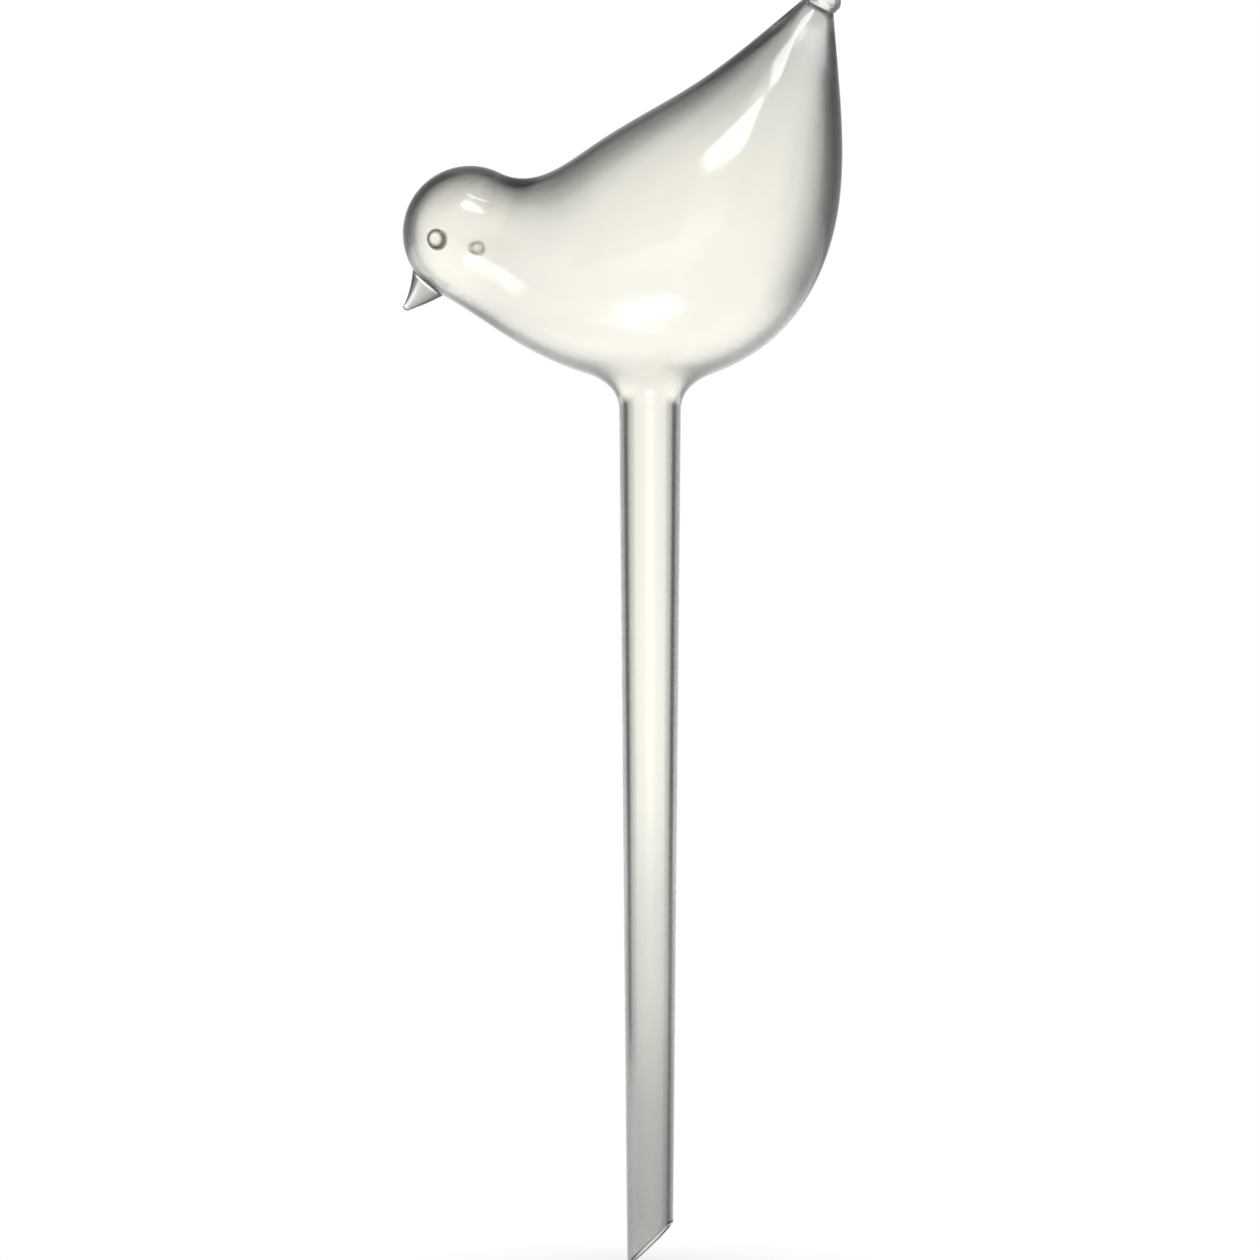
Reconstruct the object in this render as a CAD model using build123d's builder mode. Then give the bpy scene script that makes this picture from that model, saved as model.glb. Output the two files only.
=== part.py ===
"""A blown-glass watering globe in the shape of a bird on a long hollow stem.

The origin is where the stem is welded to the bulb, on the stem's axis.  +Z points
up, away from the soil; the bird faces -X and its left side is -Y.
"""

from build123d import *

import os
from math import asin, cos, degrees, radians, sin, sqrt

os.makedirs("parts", exist_ok=True)

# Driving sizes, in millimetres and degrees

STEM_LENGTH = 175.0           # from the weld down to the lowest point of the slanted tip
STEM_TOP_DIAMETER = 12.6      # outside, at the weld
STEM_TIP_DIAMETER = 9.3       # outside, level with the lowest point of the tip
STEM_WALL = 0.9
TIP_SLANT = 45.0              # slope of the ground tip, rising towards the tail
TIP_POLISH = 0.25             # melted rounding of the tip's two rims

BULB_WALL = 1.5
NECK_FLARE = 7.3              # outside radius where the belly draws down into the stem

HEAD_DIAMETER = 27.8
HEAD_REACH = 38.2             # from the stem's axis forward to the middle of the head
HEAD_HEIGHT = 36.7            # middle of the head above the weld

BACK_LEAVES_HEAD = 63.0       # where the back line leaves the head's ball, from level at the tail side
BREAST_BEHIND_BEAK = 0.4      # turn from the beak's root to where the breast line leaves it
NAPE_ANGLE = 45.0             # where the nape lies, seen from the middle of the head
NAPE_STANDOFF = 1.8           # how far the nape stands off the head's ball

# Places (X, Z) on the bird's outline, seen from its side
SADDLE = (-9.8, 55.0)
BACK = (11.4, 66.9)
TAIL_SLOPE = (25.2, 77.2)
TAIL_TOP = (32.2, 82.9)
BREAST = (-28.5, 14.4)
BELLY = (3.0, 5.4)
FLANK = (25.2, 14.2)
RUMP = (37.5, 34.7)
TAIL_ROOT = (39.6, 58.1)
TAIL_UNDER = (38.2, 79.7)

HOOP_STEPS = 10               # steps from head to tail in the run of round sections
CAVITY_SHARE = 0.955          # how far along that run the hollow reaches

NIB_DIAMETER = 5.9            # sealed-off bead at the end of the tail
NIB_RISE = 1.45               # its middle above the tail's weld
NIB_LEAN = 1.05               # its middle towards the rump

BEAK_DROP = 45.0              # angle of the beak below level
BEAK_ROOT_DIAMETER = 8.4
BEAK_LENGTH = 7.0             # from the head's ball to the tip
BEAK_TIP_DIAMETER = 1.7
BEAK_HOLLOW = 0.45            # how far the drawn sides curve inwards

EYE_FORWARD = 3.2             # from the middle of the head towards the beak
EYE_DROP = 2.0                # below the middle of the head
LEFT_EYE_DIAMETER = 4.8
RIGHT_EYE_DIAMETER = 3.8
EYE_HEIGHT = 1.1              # how far a dot of glass stands out from the head

# Places worked out from the sizes

HEAD_RADIUS = HEAD_DIAMETER / 2
HEAD_CENTRE = Vector(-HEAD_REACH, 0, HEAD_HEIGHT)
STEM_TAPER = (STEM_TOP_DIAMETER - STEM_TIP_DIAMETER) / 2 / STEM_LENGTH
BEAK_SPREAD = degrees(asin(BEAK_ROOT_DIAMETER / HEAD_DIAMETER))
BREAST_LEAVES_HEAD = 180 + BEAK_DROP + BEAK_SPREAD + BREAST_BEHIND_BEAK


def head_point(angle, standoff=0.0):
    """Place (X, Z) on or off the head's ball, the angle turning from the tail side up over the crown."""
    turn = radians(angle)
    radius = HEAD_RADIUS + standoff
    return (HEAD_CENTRE.X + radius * cos(turn), HEAD_CENTRE.Z + radius * sin(turn))


def ball_way(angle):
    """Direction (X, Z) along the head's ball at that angle, turning up over the crown."""
    turn = radians(angle)
    return (-sin(turn), cos(turn))


def between(start, end):
    """Direction (X, Z) from one place on the outline to another."""
    return (end[0] - start[0], end[1] - start[1])


# Outline of the bird from the side: the line of the back and the line of the belly

with BuildLine(Plane.XZ) as back:
    leaving = ball_way(BACK_LEAVES_HEAD)
    Spline(
        head_point(BACK_LEAVES_HEAD), head_point(NAPE_ANGLE, NAPE_STANDOFF), SADDLE, BACK, TAIL_SLOPE, TAIL_TOP,
        tangents=[(-leaving[0], -leaving[1]), between(TAIL_SLOPE, TAIL_TOP)],
    )

with BuildLine(Plane.XZ) as belly:
    Spline(
        head_point(BREAST_LEAVES_HEAD), BREAST, BELLY, FLANK, RUMP, TAIL_ROOT, TAIL_UNDER,
        tangents=[ball_way(BREAST_LEAVES_HEAD), between(TAIL_ROOT, TAIL_UNDER)],
    )


def hoop(share, inset):
    """Plane and radius of the round section a share of the way from head to tail.

    The section hangs between the two outlines, both moved into the glass by the inset.
    """
    over = back.line % share
    under = belly.line % share
    upper = (back.line @ share) + Vector(over.Z, 0, -over.X) * inset
    lower = (belly.line @ share) + Vector(-under.Z, 0, under.X) * inset
    across = upper - lower
    plane = Plane(origin=(upper + lower) / 2, x_dir=across, z_dir=Vector(0, 1, 0).cross(across))
    return plane, across.length / 2


def bird_form(inset, reach):
    """Solid bird without stem, its skin moved inwards: a ball head and a body.

    The body is lofted through hoops of four quarter arcs, whose ends keep the hoops lined up.
    """
    hoops = [hoop(reach * step / HOOP_STEPS, inset) for step in range(HOOP_STEPS + 1)]
    with BuildPart() as form:
        with Locations(HEAD_CENTRE):
            Sphere(HEAD_RADIUS - inset)
        split(bisect_by=hoops[0][0], keep=Keep.BOTTOM)
        for plane, radius in hoops:
            with BuildSketch(plane):
                with BuildLine():
                    for quarter in (45, 135, 225, 315):
                        CenterArc((0, 0), radius, quarter, 90)
                make_face()
        loft()
    return form.part


def stem_form(inset, overrun):
    """Solid tapered bar on the stem's axis, from inside the bird to past the tip."""
    top = HEAD_HEIGHT
    bottom = -STEM_LENGTH - overrun
    top_radius = STEM_TOP_DIAMETER / 2 + STEM_TAPER * top - inset
    bottom_radius = STEM_TOP_DIAMETER / 2 + STEM_TAPER * bottom - inset
    with BuildPart() as form:
        with BuildSketch(Plane.XZ):
            Polygon((0, bottom), (bottom_radius, bottom), (top_radius, top), (0, top), align=None)
        revolve(axis=Axis.Z)
    return form.part


def flared_form(bird, stem, flare):
    """Bird and stem joined, with the crease round the neck drawn out to the flare's radius."""
    with BuildPart() as form:
        add(bird)
        add(stem)
        rings = edges().filter_by(lambda edge: edge.is_closed)
        neck = rings.filter_by(lambda ring: abs(ring.center().X) < STEM_TOP_DIAMETER and ring.center().Z > 0)
        fillet(neck, flare)
    return form.part


# Skin and hollow of the glass, from which the bulb and the stem are cut

skin = flared_form(bird_form(0, 1), stem_form(0, STEM_TIP_DIAMETER), NECK_FLARE)
hollow = flared_form(
    bird_form(BULB_WALL, CAVITY_SHARE), stem_form(STEM_WALL, 2 * STEM_TIP_DIAMETER), NECK_FLARE + BULB_WALL
)

# Blown bulb: head, body and tail in one shell, open at the neck

with BuildPart() as bird_bulb:
    add(skin)
    add(hollow, mode=Mode.SUBTRACT)
    split(bisect_by=Plane.XY, keep=Keep.TOP)
bird_bulb.part.label = "bird_bulb"
export_step(bird_bulb.part, "parts/bird_bulb.step")

# Drawn stem: a tapering tube, cut at a slant where it goes into the soil

tip_radius = STEM_TIP_DIAMETER / 2
slant = radians(TIP_SLANT)
tip_cut = Plane(origin=(-tip_radius, 0, -STEM_LENGTH), z_dir=(-sin(slant), 0, cos(slant)))

with BuildPart() as stem_tube:
    add(skin)
    add(hollow, mode=Mode.SUBTRACT)
    split(bisect_by=Plane.XY, keep=Keep.BOTTOM)
    split(bisect_by=tip_cut, keep=Keep.TOP)
    cut_face = faces().filter_by(GeomType.PLANE).sort_by(Axis.Z)[0]
    fillet(cut_face.edges(), TIP_POLISH)
stem_tube.part.label = "stem_tube"
export_step(stem_tube.part, "parts/stem_tube.step")

# Bead that seals the tail, leaning towards the rump

tail_weld, tail_radius = hoop(1, 0)
bead_centre = tail_weld.origin + tail_weld.z_dir * NIB_RISE - tail_weld.x_dir * NIB_LEAN
bead_plane = Plane(origin=bead_centre, x_dir=tail_weld.x_dir, z_dir=tail_weld.z_dir)

with BuildPart() as tail_nib:
    with Locations(bead_centre):
        Sphere(NIB_DIAMETER / 2)
    split(bisect_by=bead_plane, keep=Keep.TOP)
    with BuildSketch(tail_weld):
        Circle(tail_radius)
    with BuildSketch(bead_plane):
        Circle(NIB_DIAMETER / 2)
    loft()
tail_nib.part.label = "tail_nib"
export_step(tail_nib.part, "parts/tail_nib.step")

# Beak: a solid bit of glass melted on below the forehead and drawn to a point

drop = radians(BEAK_DROP)
beak_plane = Plane(origin=HEAD_CENTRE, x_dir=(-cos(drop), 0, -sin(drop)), z_dir=(0, 1, 0))
root_radius = BEAK_ROOT_DIAMETER / 2
beak_tip_radius = BEAK_TIP_DIAMETER / 2
root_place = sqrt(HEAD_RADIUS**2 - root_radius**2)
buried = root_place - root_radius
tip_place = HEAD_RADIUS + BEAK_LENGTH - beak_tip_radius

with BuildPart() as beak:
    with BuildSketch(beak_plane):
        with BuildLine():
            Polyline((tip_place + beak_tip_radius, 0), (buried, 0), (buried, root_radius), (root_place, root_radius))
            SagittaArc((root_place, root_radius), (tip_place, beak_tip_radius), -BEAK_HOLLOW)
            CenterArc((tip_place, 0), beak_tip_radius, 0, 90)
        make_face()
    revolve(axis=Axis(HEAD_CENTRE, beak_plane.x_dir))
    with Locations(HEAD_CENTRE):
        Sphere(HEAD_RADIUS, mode=Mode.SUBTRACT)
beak.part.label = "beak"
export_step(beak.part, "parts/beak.step")


def eye_dot(diameter, side):
    """Dome of glass on the head, a part of a ball cut off by the head's skin; side is -1 or 1 along Y."""
    sight = Axis(HEAD_CENTRE + Vector(-EYE_FORWARD, 0, -EYE_DROP), (0, side, 0))
    seat, outward = max(skin.find_intersection_points(sight), key=lambda hit: hit[0].Y * side)
    ball_radius = (diameter**2 / 4 + EYE_HEIGHT**2) / (2 * EYE_HEIGHT)
    with BuildPart() as dot:
        with Locations(seat + outward * (EYE_HEIGHT - ball_radius)):
            Sphere(ball_radius)
        add(skin, mode=Mode.SUBTRACT)
    return dot


# Eyes: a dot of clear glass on each side of the head

left_eye = eye_dot(LEFT_EYE_DIAMETER, -1)
left_eye.part.label = "left_eye"
export_step(left_eye.part, "parts/left_eye.step")

right_eye = eye_dot(RIGHT_EYE_DIAMETER, 1)
right_eye.part.label = "right_eye"
export_step(right_eye.part, "parts/right_eye.step")
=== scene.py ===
"""Looks of a blown-glass watering globe: a bird with a raised tail on a long hollow stem.

The pieces are the glass bulb, the drawn stem, the bead that seals the tail, the beak and the
two eyes.  Each is a closed surface worked out from the sizes below, in metres, in the frame of
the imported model: the stem's axis is Z, the weld of stem and bulb is at the origin, and the bird
faces -X.
"""

import math

import bpy
import numpy as np
from bpy.props import FloatProperty, FloatVectorProperty, PointerProperty
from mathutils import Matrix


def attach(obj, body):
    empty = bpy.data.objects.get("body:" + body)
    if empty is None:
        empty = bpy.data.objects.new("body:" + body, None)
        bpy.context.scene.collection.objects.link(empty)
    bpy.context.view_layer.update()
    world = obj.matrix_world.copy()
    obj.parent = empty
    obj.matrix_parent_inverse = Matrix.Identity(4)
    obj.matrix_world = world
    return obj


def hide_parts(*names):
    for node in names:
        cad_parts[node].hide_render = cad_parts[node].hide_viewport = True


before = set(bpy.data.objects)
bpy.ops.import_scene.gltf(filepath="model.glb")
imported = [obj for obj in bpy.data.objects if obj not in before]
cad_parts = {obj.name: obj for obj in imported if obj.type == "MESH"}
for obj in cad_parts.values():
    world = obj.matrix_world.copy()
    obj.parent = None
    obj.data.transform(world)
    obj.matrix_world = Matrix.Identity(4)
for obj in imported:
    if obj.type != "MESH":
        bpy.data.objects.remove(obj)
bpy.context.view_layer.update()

bl_info = {
    "name": "Glass watering globe",
    "version": (1, 0, 0),
    "blender": (4, 5, 0),
    "location": "View3D > Sidebar > Globe",
    "description": "Builds a blown-glass bird on a hollow stem and its studio",
    "category": "Add Mesh",
}

MM = 0.001

# Places (X, Z) on the bird's outline in millimetres, seen from its side
SADDLE = (-9.8, 55.0)
BACK = (11.4, 66.9)
TAIL_SLOPE = (25.2, 77.2)
TAIL_TOP = (32.2, 82.9)
BREAST = (-28.5, 14.4)
BELLY = (3.0, 5.4)
FLANK = (25.2, 14.2)
RUMP = (37.5, 34.7)
TAIL_ROOT = (39.6, 58.1)
TAIL_UNDER = (38.2, 79.7)

# Turns round the middle of the head, from level at the tail side up over the crown
BACK_LEAVES_HEAD = math.radians(63.0)
BREAST_LEAVES_HEAD = math.radians(243.0)
NAPE_ANGLE = math.radians(45.0)
NAPE_STANDOFF = 1.8 * MM

# The rings behind the head are slimmer from side to side than they are high
SLIM_BY = 0.09
SLIM_AT = 0.10  # share of the way from head to tail where they are slimmest
SLIM_END = 0.60  # and from where they are round again

# Shares of that way over which the wall eases to its thickness at the belly, the tail and the end
WALL_SPANS = ((0.0, 0.15), (0.5, 0.9), (0.9, 1.0))
END_BOW = 0.25 * MM  # how far the end of the hollow bulges into the tail

TIP_LIP = 0.35 * MM  # half the height of the melted rim round the stem's tip
NIB_RISE = 1.45 * MM  # middle of the bead above the tail's weld
NIB_LEAN = 1.05 * MM  # and towards the rump

BEAK_DROP = math.radians(47.5)  # below level
BEAK_BEND = -0.36 * MM  # less than 0 bends its middle towards the throat
BEAK_HOLLOW = 0.12 * MM  # how far the beak's drawn sides curve inwards
EYE_FORWARD = 3.2 * MM  # from the middle of the head towards the beak
EYE_DROP = 2.0 * MM  # below the middle of the head
SEAT_GAP = 0.02 * MM  # between the head and what is melted onto it

# Numbers of steps in the meshes
HEAD_ROWS = 36
BODY_ROWS = 150
ROUND = 160
NECK_ROWS = 28  # half the length of the patch that is cut out of the belly for the neck, in rows
NECK_COLUMNS = 24  # half its width, in steps round the body
PATCH_ROWS = 14
FLARE_ROWS = 22
END_ROWS = 8
STEM_ROWS = 90
STEM_ROUND = 128
LIP_ROWS = 12
CONE_ROWS = 12
CAP_ROWS = 20
SMALL_ROUND = 96  # round the bead, the beak and the eyes
SEAT_ROWS = 12
BEAK_ROWS = 25
BEAK_TIP_ROWS = 9
EYE_ROWS = 15
OUTLINE_SAMPLES = 3000

# How the belly's skin over the neck and the stem's slanted cut are searched for
BELLY_RADIUS = 28 * MM  # rough radius of the belly, for the first guess
SEARCH_STEP = 1e-3
SEARCH_ROUNDS = 12
CUT_ROUNDS = 20
SLOPE_STEP = 0.05 * MM
NECK_BEFORE = 1.6  # place along the bird before which the neck lies
BEND_HOLD = 0.55  # how long a bend keeps its end ways, as for a quarter of a circle

# Painted shade on the outer walls, which darkens them towards their edges.  A rim has sides with stops of
# (facing, share of light left by the painted shade), where facing 0 is face on and 1 is edge on; see
# painted_rim_shade.
CLEAR_SIDE = {"stops": ((0, 1), (1, 1)), "axis": "Z", "span": (-0.1, -0.5)}
FLARE_SIDE = {
    "stops": (
        (0, 1), (0.34, 0.97), (0.44, 0.72), (0.52, 0.28), (0.58, 0.07), (0.68, 0.03), (0.80, 0.06),
        (1, 0.15),
    ),
    "axis": "Z", "span": (-0.1, -0.4),
}
LOW_STEM_SIDE = {
    "stops": (
        (0, 1), (0.12, 0.85), (0.18, 0.56), (0.24, 0.42), (0.28, 0.30), (0.33, 0.10), (0.38, 0.05),
        (0.43, 0.06), (0.49, 0.18), (0.55, 0.30), (0.70, 0.42), (1, 0.5),
    ),
}
STEM_SIDE = {
    "stops": (
        (0, 1), (0.12, 0.84), (0.18, 0.42), (0.24, 0.26), (0.28, 0.17), (0.33, 0.03), (0.38, 0.02),
        (0.43, 0.06), (0.49, 0.4), (0.55, 0.9), (1, 1),
    ),
}
HEADWARD_SIDE = {
    "stops": ((0, 1), (0.20, 0.95), (0.35, 0.85), (0.45, 0.70), (0.55, 0.60), (0.70, 0.65), (1, 0.75)),
    "axis": "X", "span": (-0.05, -0.4),
}
BODY_SIDE = {
    "stops": (
        (0, 1), (0.12, 0.97), (0.20, 0.90), (0.28, 0.76), (0.36, 0.58), (0.45, 0.34), (0.55, 0.19),
        (0.66, 0.11), (0.80, 0.20), (1, 0.33),
    ),
}
# Slopes of the back and forehead, which get painted shade only near their edge seen from the front
FORWARD_SIDE = {
    "stops": ((0, 1), (0.50, 0.96), (0.56, 0.72), (0.62, 0.3), (0.68, 0.12), (0.80, 0.20), (1, 0.33)),
    "axis": "X", "span": (-0.2, -0.45), "across": (0.62, 0.47),
}
SLANTING_SIDE = {
    "stops": (
        (0, 1), (0.20, 0.97), (0.33, 0.86), (0.40, 0.72), (0.48, 0.50), (0.60, 0.22), (0.70, 0.13),
        (0.80, 0.16), (1, 0.30),
    ),
    "axis": "Z", "span": (-0.05, -0.45),
}
TAILWARD_SIDE = {
    "stops": (
        (0, 1), (0.12, 0.93), (0.20, 0.72), (0.28, 0.53), (0.36, 0.36), (0.47, 0.17), (0.56, 0.08),
        (0.65, 0.04), (0.75, 0.06), (0.88, 0.12), (1, 0.22),
    ),
    "axis": "X", "span": (0.60, 0.90),
}
UNDER_SIDE = {
    "stops": (
        (0, 1), (0.40, 1), (0.48, 0.85), (0.55, 0.55), (0.61, 0.25), (0.70, 0.14), (0.80, 0.15),
        (0.90, 0.35), (1, 0.5),
    ),
    "axis": "Z", "span": (-0.45, -0.75),
}
TAIL_SIDE = {"stops": ((0, 0.62), (0.35, 0.54), (0.6, 0.3), (0.8, 0.2), (1, 0.3))}
BEAD_SIDE = {
    "stops": ((0, 0.72), (0.30, 0.68), (0.45, 0.6), (0.60, 0.4), (0.75, 0.25), (0.90, 0.25), (1, 0.4)),
}
BEAK_SIDE = {
    "stops": (
        (0, 1), (0.26, 0.97), (0.36, 0.85), (0.45, 0.5), (0.53, 0.16), (0.62, 0.04), (0.85, 0.04), (1, 0.1),
    ),
}
TIP_RIM = {"sides": (LOW_STEM_SIDE, HEADWARD_SIDE, CLEAR_SIDE)}
LOW_STEM_RIM = {"sides": (LOW_STEM_SIDE, CLEAR_SIDE), "rise": (-148 * MM, -122 * MM)}
STEM_RIM = {"sides": (STEM_SIDE, FLARE_SIDE), "rise": (-115 * MM, -75 * MM)}
BLOWN_RIM = {
    "sides": (BODY_SIDE, FORWARD_SIDE, SLANTING_SIDE, TAILWARD_SIDE, UNDER_SIDE),
    "rise": (4 * MM, 12 * MM),
}
TAIL_RIM = {"sides": (TAIL_SIDE,), "rise": (75 * MM, 78 * MM)}
BEAD_RIM = {"sides": (BEAD_SIDE,)}
BEAK_RIM = {"sides": (BEAK_SIDE,)}

# By height in millimetres: painted shade that greys the stem towards its tip, and the tail's tint, darker
# towards its top
STEM_PAINTED_SHADE = (
    (-165, 0.37), (-151, 0.41), (-141, 0.45), (-120, 0.62), (-100, 0.72), (-80, 0.90), (-59, 0.98), (-45, 1),
)
TAIL_TINT = ((40, 1), (50, 0.98), (61, 0.94), (71, 0.84), (79, 0.84))
TAIL_COLOUR = (0.5, 0.78, 1.0)

# Painted shade of an eye, a dark ring near its edge: level from its middle to its edge
EYE_PAINTED_RING = ((0, 1), (0.42, 1), (0.56, 0.5), (0.68, 0.16), (0.78, 0.2), (0.88, 0.8), (1, 1))

CLEAR = (1.0, 1.0, 1.0, 1.0)
TINT_DRIFT = 1.008  # how much paler the glass's tint grows from place to place
DRIFT_SCALE = 18.0
HAZE_SCALE = 900.0
POLISHED_HAZE = 0.012
BLOWN_HAZE = 0.3  # on the inside, which no flame has polished
BUMP_HEIGHT = 1.0 * MM

# Refraction of the glass; solid bits have less than real glass, which would look too dark in them
GLASS_IOR = 1.5
BEAD_IOR = 1.35
EYE_IOR = 1.3
BEAK_IOR = 1.18

# Sizes of the swells that the flame leaves, in waves to a metre
BLOWN_SWELL = 45.0
DRAWN_SWELL = 60.0
MELTED_SWELL = 220.0
DRAWN_STRETCH = 0.06  # how much of a swell is left along the stem, which is drawn lengthways

# Camera
VIEW_AZIMUTH = math.radians(14.5)
VIEW_DISTANCE = 1.080
VIEW_HEIGHT = -44.9 * MM
VIEW_ASIDE = 4.08 * MM  # the camera stands this far to its left of the stem's axis
PIXEL = 0.204 * MM  # width of one of the picture's pixels at the stem's axis
PICTURE_WIDTH = 1260  # in pixels
SENSOR_WIDTH = 36.0
CLIP_START = 0.01

# Floor
FLOOR_HEIGHT = -175.6 * MM
FLOOR_RADIUS = 10.0
FLOOR_CORNERS = 64
FLOOR_STRENGTH = 1.16
SHADOW_REACH = 0.06  # how far from the stem the floor shows a shadow, in metres
SHADOW_SHARE = 0.25

# Brightness of the studio behind the glass, by the sine of the height above level
SWEEP_LEVELS = (
    (0, 1), (0.0558, 0.97), (0.0732, 0.90), (0.1219, 0.88), (0.1357, 0.83), (0.1668, 0.64), (0.269, 0.46),
    (0.5, 0.27), (1, 0.23),
)
# The same towards the head and the tail, and where that sets in, by the sideways share of a level way
END_LEVELS = ((0, 1), (0.0558, 0.97), (0.1219, 0.9), (0.3, 0.78), (0.5, 0.66), (1, 0.6))
END_SHARES = (0.6, 0.25)
LEAST_LEVEL = 0.001  # keeps a way straight up from being divided by nothing
SWEEP_STRENGTH = 1.06
PANELS = 4  # bright panels round the studio
PANEL_MIDDLE = math.radians(-16)  # where one of them stands, from +Y towards +X
PANEL_FULL = math.radians(13)  # half the width of a panel
PANEL_DARK = math.radians(20)  # where the gap between two panels begins
GAP_LEVEL = 0.36
GAP_FLOOR = (1.0, 2.6)  # distances in metres over which the gaps set in on the floor

# Window that lights the glass from above the camera.  Its panes are (foot, head, rounding): foot and head
# are a height on the window's plane, the pane's middle there and its half width, all as shares of the
# window's distance; the rounding is the share of a pane's height over which it widens from its foot.
WINDOW_AZIMUTH = math.radians(-3)
WINDOW_HEIGHT = math.radians(48)
WINDOW_ROLL = math.radians(-25)
WINDOW_PANES = (
    ((-0.24, 0.06, 0.25), (0.175, 0.055, 0.015), 0.4),
    ((0.190, 0.10, 0.26), (0.315, -0.26, 0.015), 0.8),
)
PANE_TAPER = 3.0  # power of the height by which a pane goes over from its foot to its head
WINDOW_SOFTNESS = 0.05  # of the panes' sides
WINDOW_ENDS = 0.018  # softness of their feet and heads
WINDOW_LEVEL = 7.0
WINDOW_FRONT = 0.2  # least part of a ray towards the window that can meet it

# How nodes are set out in an editor
NODE_WIDTH = 240
NODE_HEIGHT = 320
NODES_IN_ROW = 8


def panel_length(name, description, millimetres):
    """A length for the panel, its default given in millimetres."""
    return FloatProperty(
        name=name, description=description, default=millimetres * MM, unit="LENGTH", precision=5)


def panel_colour(name, description, default):
    """A colour for the panel."""
    return FloatVectorProperty(
        name=name, description=description, default=default, size=3, min=0.0, max=1.0, subtype="COLOR")


class GlobeSizes(bpy.types.PropertyGroup):
    """Sizes of the glass."""

    stem_length: panel_length("Stem length", "From the weld down to the lowest point of the tip", 175.0)
    stem_top: panel_length("Stem diameter at the weld", "Outside diameter where stem and bulb meet", 12.6)
    stem_tip: panel_length("Stem diameter at the tip", "Outside diameter level with the lowest point", 9.3)
    stem_wall: panel_length("Stem wall", "Thickness of the drawn tube", 0.9)
    tip_slant: FloatProperty(
        name="Tip slant", description="Slope of the cut tip, rising towards the tail",
        default=math.radians(45.0), subtype="ANGLE")
    neck_flare: panel_length("Neck flare", "Outside radius where the belly draws down into the stem", 7.3)
    neck_wall: panel_length("Neck wall", "Thickness of the belly's thinly blown glass beside the neck", 0.4)
    head_diameter: panel_length("Head diameter", "Diameter of the ball that forms the head", 27.8)
    head_reach: panel_length("Head reach", "From the stem's axis forward to the middle of the head", 38.2)
    head_height: panel_length("Head height", "Middle of the head above the weld", 36.7)
    head_wall: panel_length("Head wall", "Thickness of the glass at the head", 1.65)
    belly_wall: panel_length("Belly wall", "Thickness of the glass at the belly", 0.9)
    tail_wall: panel_length("Tail wall", "Thickness of the glass at the tail", 1.8)
    end_wall: panel_length("End wall", "Thickness of the glass at the end of the tail, beside the bead", 1.0)
    cavity_share: FloatProperty(
        name="Cavity end", description="How far along the body, from head to tail, the hollow reaches",
        default=0.996, subtype="FACTOR")
    nib_diameter: panel_length("Bead diameter", "Diameter of the bead that seals the tail", 5.9)
    beak_root: panel_length("Beak root", "Diameter of the beak where it meets the head", 8.4)
    beak_length: panel_length("Beak length", "From the head's ball to the beak's tip", 7.0)
    beak_tip: panel_length("Beak tip", "Diameter of the rounded tip", 1.7)
    left_eye: panel_length("Left eye", "Diameter of the dot of glass on the left", 4.8)
    right_eye: panel_length("Right eye", "Diameter of the dot of glass on the right", 3.8)
    eye_height: panel_length("Eye height", "How far the eyes stand out from the head", 1.1)


class GlobeColours(bpy.types.PropertyGroup):
    """Colours of the glass and the studio."""

    glass: panel_colour(
        "Glass", "Colour of light that has passed straight through a wall", (0.997, 0.982, 0.928))
    # The rim colour tints the painted shade along the glass's edges, down the stem and in the eyes' rings
    rim: panel_colour(
        "Rim", "Tint of light that has passed along a wall, at the glass's edges", (0.88, 0.94, 1.0))
    backdrop: panel_colour("Backdrop", "Colour of the floor and the background", (1.0, 1.0, 1.0))


# Outline of the bird


def ease(part):
    """Smooth step from 0 to 1, level at both ends."""
    part = np.clip(part, 0, 1)
    return part**2 * (3 - 2 * part)


def outline_curve(places, start_way, end_way):
    """Points along a smooth line through places, at even shares of its length, and the ways along it.

    The line is a cubic between each two places, measured by their distances, whose slopes and bends
    agree where two cubics meet and whose end slopes are the given unit ways.
    """
    gap = np.hypot(*np.diff(places, axis=0).T)
    knot = np.concatenate(([0.0], np.cumsum(gap)))
    count = len(places)
    system = np.eye(count)
    right = np.zeros((count, 2))
    right[0] = start_way
    right[-1] = end_way
    inner = np.arange(1, count - 1)
    system[inner, inner - 1] = 1 / gap[:-1]
    system[inner, inner] = 2 / gap[:-1] + 2 / gap[1:]
    system[inner, inner + 1] = 1 / gap[1:]
    chord = np.diff(places, axis=0) / gap[:, None] ** 2
    right[1:-1] = 3 * (chord[:-1] + chord[1:])
    slope = np.linalg.solve(system, right)

    def cubics(at):
        """Points at distances along the knots: the two places eased, and their slopes faded in and out."""
        piece = np.clip(np.searchsorted(knot, at, side="right") - 1, 0, count - 2)
        width = gap[piece][:, None]
        part = ((at - knot[piece]) / gap[piece])[:, None]
        begin = places[piece] * (1 - ease(part)) + places[piece + 1] * ease(part)
        lead = slope[piece] * part * (1 - part) ** 2
        trail = slope[piece + 1] * part**2 * (1 - part)
        return begin + width * (lead - trail)

    fine = cubics(np.linspace(0, knot[-1], OUTLINE_SAMPLES))
    length = np.concatenate(([0.0], np.cumsum(np.hypot(*np.diff(fine, axis=0).T))))
    even = np.linspace(0, length[-1], OUTLINE_SAMPLES)
    at = np.interp(even, length, np.linspace(0, knot[-1], OUTLINE_SAMPLES))
    line = cubics(at)
    way = np.gradient(line, axis=0)
    return line, way / np.hypot(*way.T)[:, None]


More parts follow.
